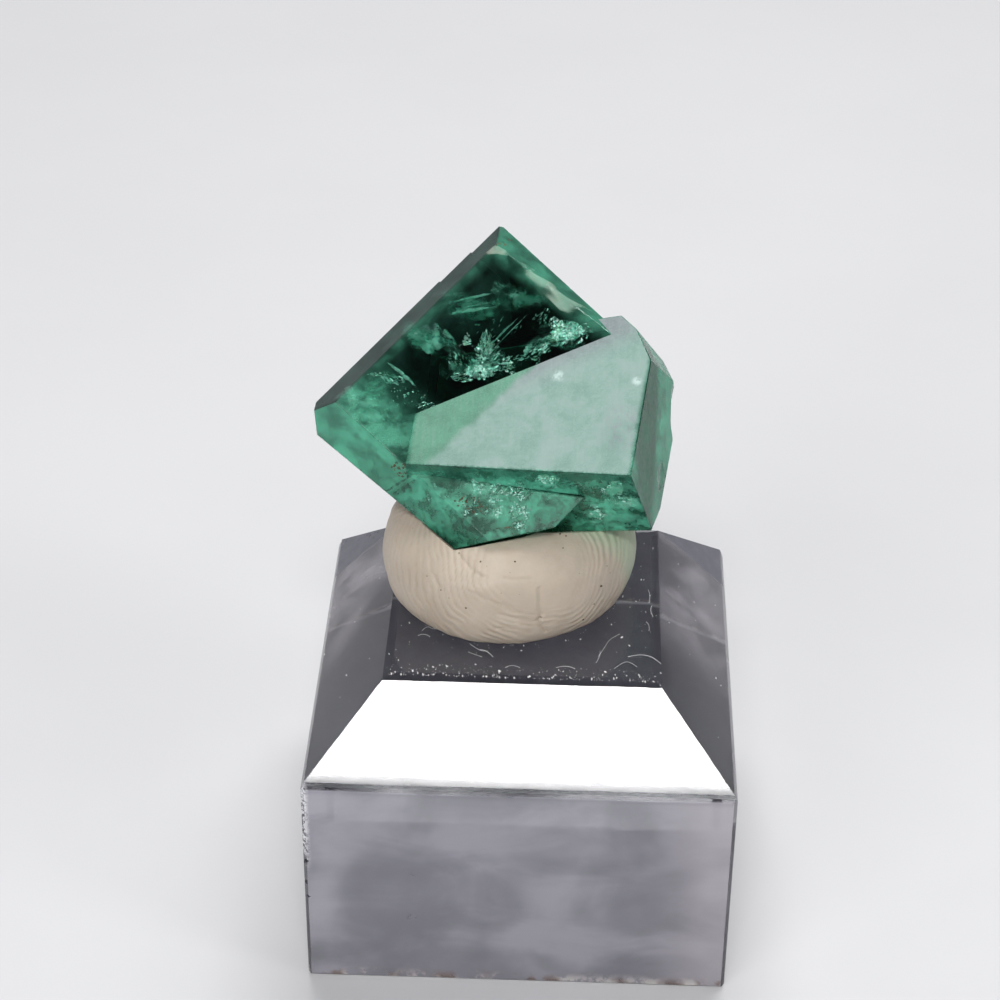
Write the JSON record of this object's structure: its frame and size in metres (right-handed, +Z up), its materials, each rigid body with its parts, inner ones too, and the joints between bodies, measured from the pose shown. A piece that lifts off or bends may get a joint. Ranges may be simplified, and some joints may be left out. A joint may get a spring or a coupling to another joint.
{
  "type": "fluorite octahedron on a display base",
  "caption": "Green fluorite octahedron with a second crystal grown through it, set in mineral putty on a bevelled clear acrylic display block.",
  "frame": {"origin": "middle of the acrylic block's underside, where it rests", "axes": "+Z up; +Y away from the front of the block; +X to the right seen from the front"},
  "size_m": [0.0257, 0.0267, 0.0387],
  "materials": {
    "clear_acrylic": "clear cast acrylic with polished faces, fine scratches and dust",
    "mineral_putty": "cream mineral putty, satin, with pressed-in fingerprint ridges",
    "green_fluorite": "deep green clear fluorite with polished faces, one frosted whitish face and cloudy veils inside"
  },
  "bodies": {
    "root": {"acrylic_base": "clear_acrylic", "mounting_putty": "mineral_putty", "fluorite_crystal": "green_fluorite"}
  },
  "joints": []
}
